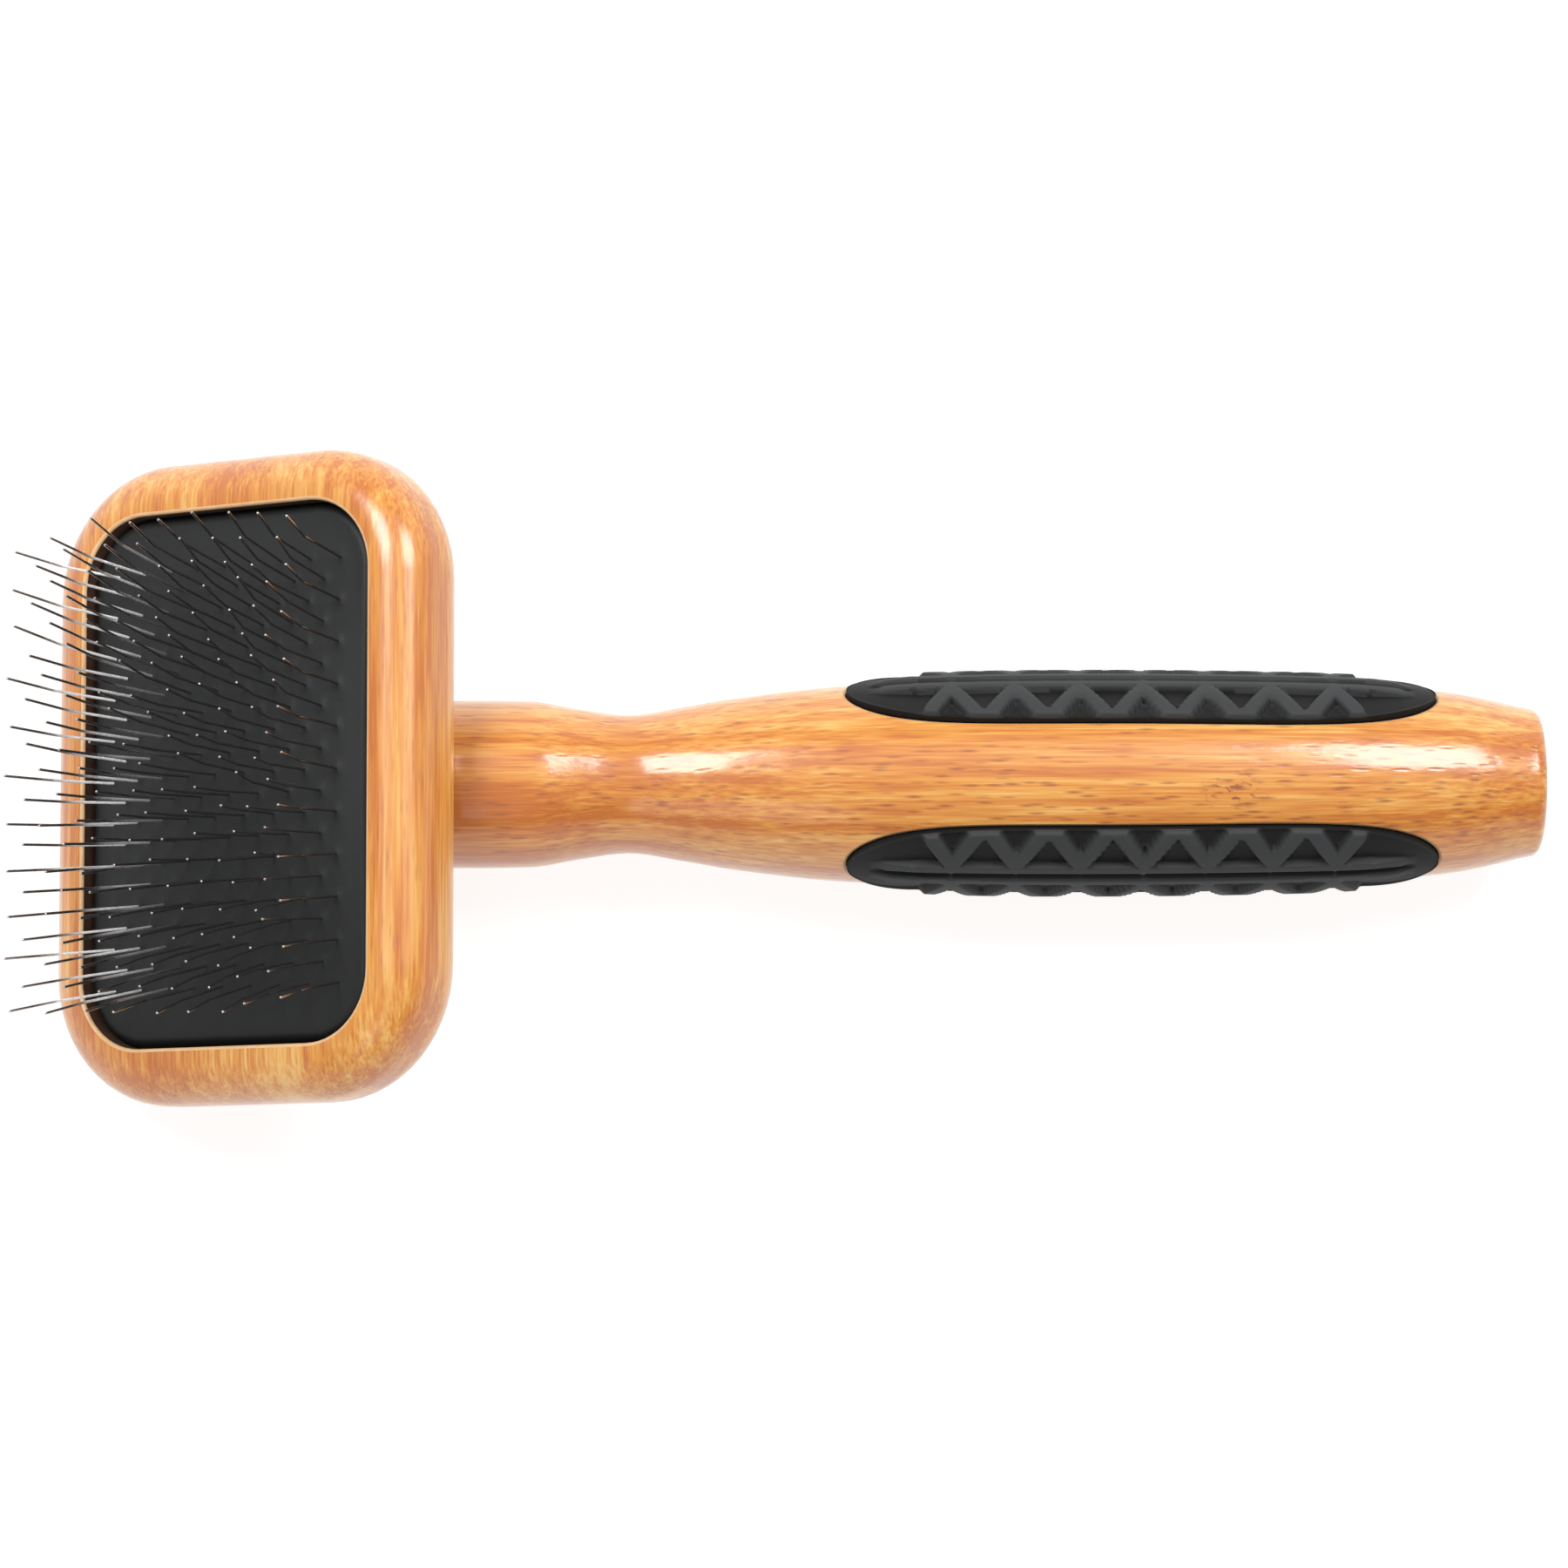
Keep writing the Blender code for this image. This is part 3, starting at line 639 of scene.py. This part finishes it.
def lens_parts(count):
    """Places from tip to tip, closer together at the blunt tips."""
    return [math.copysign(1 - (1 - abs(k)) ** 2.6, k) if k else 0.0
            for k in (2 * i / count - 1 for i in range(count + 1))]


def lens_solid(name, levels, turn, along_count, across_count, relief=None, lip=None):
    """A closed lens that follows the handle, with a grid at its bottom and at its top.

    levels are (height over the wood, growth of the outline), bottom to top. The band of sides above the
    level lip has the second material. relief(along, across, part, half) lifts the top, and says how much of
    a rib each point is, which the mesh keeps as the attribute raised.
    """
    parts = lens_parts(along_count)
    bm = bmesh.new()
    raised = bm.verts.layers.float.new("raised")

    def grid(height, growth, shape=None):
        rows = []
        for part in parts:
            along = GRIP_CENTRE + part * (GRIP_LENGTH / 2 + growth)
            half = max(lens_edge(part, growth), THINNEST)
            row = []
            for k in range(across_count + 1):
                across = half * (2 * k / across_count - 1)
                lift, rib = shape(along - GRIP_CENTRE, across, part, half) if shape else (0.0, 0.0)
                row.append(bm.verts.new(on_handle(along, across, height + lift, turn)))
                row[-1][raised] = rib
            rows.append(row)
        return rows

    def border(rows):
        return ([row[0] for row in rows] + rows[-1][1:-1]
                + [row[-1] for row in reversed(rows)] + list(reversed(rows[0][1:-1])))

    bottom, top = grid(*levels[0]), grid(*levels[-1], relief)
    loft(bm, bottom, closed=False)
    loft(bm, top, closed=False)
    loops = [border(bottom)]
    for height, growth in levels[1:-1]:
        level = grid(height, growth)
        keep = set(border(level))
        loops.append(border(level))
        bmesh.ops.delete(bm, geom=[v for row in level for v in row if v not in keep], context="VERTS")
    loops.append(border(top))
    sides = loft(bm, loops)
    if lip is not None:
        for face in sides[lip * len(loops[0]):(lip + 1) * len(loops[0])]:
            face.material_index = 1
    return finish_mesh(bm, name)


def make_handle(wood, edge):
    """Turned wood, cut to the head's slanted back, with a pocket for each grip."""
    start, end = HANDLE_STATIONS[0][0] * MM, HANDLE_STATIONS[-1][0] * MM
    count = round((end - start) / RING_STEP)
    profile = [(handle_radius(z), z) for z in (start + (end - start) * k / count for k in range(count + 1))]
    rim = profile[-1][0]
    corner_steps = 6
    for k in range(1, corner_steps + 1):
        turn = math.pi / 2 * k / corner_steps
        profile.append((rim - BUTT_CORNER * (1 - math.cos(turn)), end + BUTT_CORNER * math.sin(turn)))
    bm = bmesh.new()
    rings = []
    for radius, z in profile:
        turns = (2 * math.pi * k / HANDLE_SEGMENTS for k in range(HANDLE_SEGMENTS))
        rings.append([bm.verts.new((radius * math.cos(t), radius * math.sin(t), z)) for t in turns])
    loft(bm, rings)
    bm.faces.new(rings[0])
    bm.faces.new(rings[-1])
    on_back = HANDLE.inverted() @ axis_start
    normal = HANDLE.inverted().to_3x3() @ head_normal
    cut = bmesh.ops.bisect_plane(bm, geom=bm.verts[:] + bm.edges[:] + bm.faces[:], dist=1e-7,
                                 plane_co=on_back - normal * HEAD_CLEARANCE, plane_no=normal,
                                 clear_outer=True)
    bmesh.ops.holes_fill(bm, edges=[e for e in cut["geom_cut"] if isinstance(e, bmesh.types.BMEdge)])
    handle = link("handle_wood", finish_mesh(bm, "handle_wood"), HANDLE)
    handle.data.materials.append(wood)
    handle.data.materials.append(edge)
    cutters = []
    levels = [(-GRIP_INSET, 0.0), (-POCKET_LIP, 0.0), (POCKET_LIP, 2 * POCKET_LIP), (4 * MM, 2 * POCKET_LIP)]
    for name, degrees in GRIP_TURNS.items():
        pocket = lens_solid("pocket", levels, math.radians(degrees), *POCKET_GRID, lip=1)
        cutter = link(f"{name}_pocket", pocket, HANDLE)
        cutter.hide_render = True
        boolean = handle.modifiers.new(name, "BOOLEAN")
        boolean.operation = "DIFFERENCE"
        boolean.object = cutter
        cutters.append(cutter)
    apply_modifiers(handle)
    for cutter in cutters:
        bpy.data.objects.remove(cutter)
    shade(handle, 28)
    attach(handle, "brush_body")
    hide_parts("handle")


# ------------------------------------------------------------------ grips
def bump_shape(distance, half_width):
    """1 on the middle line of a rib, falling smoothly to 0 at its half width."""
    t = max(0.0, min(1.0, (half_width - distance) / (0.45 * half_width)))
    return t * t * (3 - 2 * t)


def zigzag_distance(along, across):
    """Distance to the zigzag rib: along is from the grip's centre, across from its middle line."""
    phase = (along / ZIGZAG_PITCH) % 1.0
    fold = abs(2 * phase - 1)                   # 1 at the corners near the middle line, 0 at the far ones
    height = ZIGZAG_FAR + (ZIGZAG_NEAR - ZIGZAG_FAR) * fold
    slope = 2 * (ZIGZAG_FAR - ZIGZAG_NEAR) / ZIGZAG_PITCH
    return abs(across - height) / math.hypot(1.0, slope)


def grip_relief(along, across, part, half):
    """How far the top of a grip is lifted at a point, and how much of a rib it is there, from 0 to 1.

    A middle groove runs between two straight ribs, with a zigzag rib on each side, and the recesses between
    ribs are sunk. All of it fades to plain rubber at the tips.
    """
    y = abs(across)
    edge = max(0.0, half - y)
    tip = max(0.0, (abs(part) - PLAIN_TIP) / (1 - PLAIN_TIP))
    sunk = -(GRIP_PROUD - TIP_HEIGHT) * tip * tip
    rounded = -ROUND_DROP * (1 - tip) * (1 - min(1.0, edge / ROUND_WIDTH)) ** 2
    fade = max(0.0, min(1.0, (FLANK_END - abs(part)) / FLANK_FADE))
    flank = bump_shape(abs(y - FLANK_PLACE), FLANK_HALF_WIDTH) * fade
    zigzag = bump_shape(zigzag_distance(along, y), ZIGZAG_HALF_WIDTH)
    reach = max(0.0, min(1.0, (ZIGZAG_REACH - abs(along)) / RIB_END))
    ribs = max(flank, zigzag * reach)
    floor_reach = min(1.0, edge / BASIN_EDGE) * (1 - tip)
    basin = -BASIN_DEPTH * (1 - ribs) * floor_reach
    groove = -GROOVE_DEPTH * bump_shape(y, GROOVE_HALF_WIDTH) * fade
    return sunk + rounded + basin + groove, ribs


def make_grips(material):
    """The three rubber inlays, standing a little proud of the wood."""
    levels = [(-GRIP_INSET + 0.1 * MM, -GRIP_CLEARANCE), (0.0, -GRIP_CLEARANCE),
              (0.35 * GRIP_PROUD, -GRIP_CLEARANCE), (GRIP_PROUD, -0.2 * MM)]
    for name, degrees in GRIP_TURNS.items():
        mesh = lens_solid(name, levels, math.radians(degrees), *GRIP_GRID, relief=grip_relief)
        grip = link(f"{name}_rubber", mesh, HANDLE)
        shade(grip, 60)
        grip.data.materials.append(material)
        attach(grip, "brush_body")
        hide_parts(name)


# ------------------------------------------------------------------ studio
# Height in the room's sky, from 0 at the horizon to 1 overhead, and brightness.
ROOM_LEVELS = [(0.0, 1.15), (0.3, 1.1), (0.42, 0.28), (0.68, 0.28), (0.78, 0.6), (1.0, 0.6)]
LAMP_WIDTH, LAMP_HEIGHT = 0.32, 0.4
LAMP_DISTANCE = 0.9
# Name, turn to the side, turn to the back, in degrees from straight up, and watts.
SOFTBOXES = [("softbox_left", -28.0, -24.0, 5.3),
             ("softbox_right", 27.0, -24.0, 5.3),
             ("softbox_front", -20.0, 39.0, 0.5)]
CAMERA_LENS = 124.0                 # millimetres, on a 36 mm sensor
CAMERA_DISTANCE = 0.7949
CAMERA_TARGET = Vector((0.0732, 0.0, 0.0))      # from the start of the handle's axis
CAMERA_TURNS = (("X", 5.85), ("Y", -0.56), ("Z", -0.1))


def make_floor():
    """White paper that glows a little, so that its shadows stay pale."""
    bpy.ops.mesh.primitive_plane_add(size=6.0, location=(0.0, 0.0, 0.0))
    floor = bpy.context.object
    floor.name = "floor"
    paper = Graph("white_paper")
    paper.principled(Base_Color=(0.25, 0.25, 0.25, 1.0), Roughness=0.9,
                     Emission_Color=(1.0, 1.0, 1.0, 1.0), Emission_Strength=0.84)
    floor.data.materials.append(paper.material)


def make_room():
    """Brightness by height: a white sweep at the bottom, darker walls above it, and a pale ceiling."""
    world = bpy.data.worlds.new("room")
    world.use_nodes = True
    tree = world.node_tree
    direction = tree.nodes.new("ShaderNodeTexCoord")
    height = tree.nodes.new("ShaderNodeSeparateXYZ")
    zones = tree.nodes.new("ShaderNodeValToRGB")
    tree.links.new(direction.outputs["Generated"], height.inputs[0])
    tree.links.new(height.outputs["Z"], zones.inputs["Fac"])
    tree.links.new(zones.outputs["Color"], tree.nodes["Background"].inputs["Color"])
    while len(zones.color_ramp.elements) < len(ROOM_LEVELS):
        zones.color_ramp.elements.new(0.5)
    for element, (place, level) in zip(zones.color_ramp.elements, ROOM_LEVELS):
        element.position = place
        element.color = (level, level, level, 1.0)
    bpy.context.scene.world = world


def make_softboxes():
    """Soft lamps that face the origin from above."""
    for name, side, back, watts in SOFTBOXES:
        lamp = bpy.data.lights.new(name, "AREA")
        lamp.shape = "RECTANGLE"
        lamp.size = LAMP_WIDTH
        lamp.size_y = LAMP_HEIGHT
        lamp.energy = watts
        light = bpy.data.objects.new(name, lamp)
        bpy.context.scene.collection.objects.link(light)
        away = Matrix.Rotation(math.radians(side), 4, "Y") @ Matrix.Rotation(math.radians(back), 4, "X")
        light.matrix_world = away @ Matrix.Translation((0.0, 0.0, LAMP_DISTANCE))


def make_camera():
    """Looks almost straight down on the brush, turned a little about the handle."""
    camera_data = bpy.data.cameras.new("camera")
    camera_data.sensor_width = 36.0
    camera_data.lens = CAMERA_LENS
    camera = bpy.data.objects.new("camera", camera_data)
    bpy.context.scene.collection.objects.link(camera)
    place = Matrix.Translation(axis_start + CAMERA_TARGET)
    for axis, degrees in CAMERA_TURNS:
        place = place @ Matrix.Rotation(math.radians(degrees), 4, axis)
    camera.matrix_world = place @ Matrix.Translation((0.0, 0.0, CAMERA_DISTANCE))
    bpy.context.scene.camera = camera


# ------------------------------------------------------------------ build
make_camera()
make_floor()
make_room()
make_softboxes()
bamboo_head = bamboo("bamboo_head", along="y", strip="x", strip_width=17.1 * MM, strip_start=4.3 * MM,
                     coat_roughness=0.24, open_vessels=0.35)
bamboo_handle = bamboo("bamboo_handle", along="z", strip="y", strip_width=10.5 * MM, strip_start=6.4 * MM,
                       coat_roughness=0.15, open_vessels=0.85, knuckle=KNUCKLE_PLACE)
# The pockets' chamfers get a painted highlight.
edge_shine = paint_edge_highlight("painted_edge_highlight")
make_head(bamboo_head, shaded_wall("pocket_wall"), edge_shine)
make_handle(bamboo_handle, edge_shine)
# The grips' recesses are painted near black as shade, and their ribs paler.
make_grips(rubber("grip_rubber", (4, 4, 5), (60, 61, 62), 0.6, raised="raised"))
make_pad(rubber("pad_rubber", (30, 31, 32), (38, 39, 40), 0.5))
make_pins(pin_wire("pin_steel"))

# The parts inside the head keep their CAD shapes.
hidden = {
    "screw_steel": steel("screw_steel", (210, 205, 190), 0.35),
    "canvas": woven("canvas", (150, 138, 110), (196, 186, 158)),
    "foam": foam("foam"),
}
slots = {part["node"]: part["material_slot"] for part in frame["record"]["subparts"]}
for node, obj in frame["nodes"].items():
    if slots[node] in hidden and not obj.hide_render:
        obj.data.materials.clear()
        obj.data.materials.append(hidden[slots[node]])

bpy.context.scene.view_settings.view_transform = "Standard"
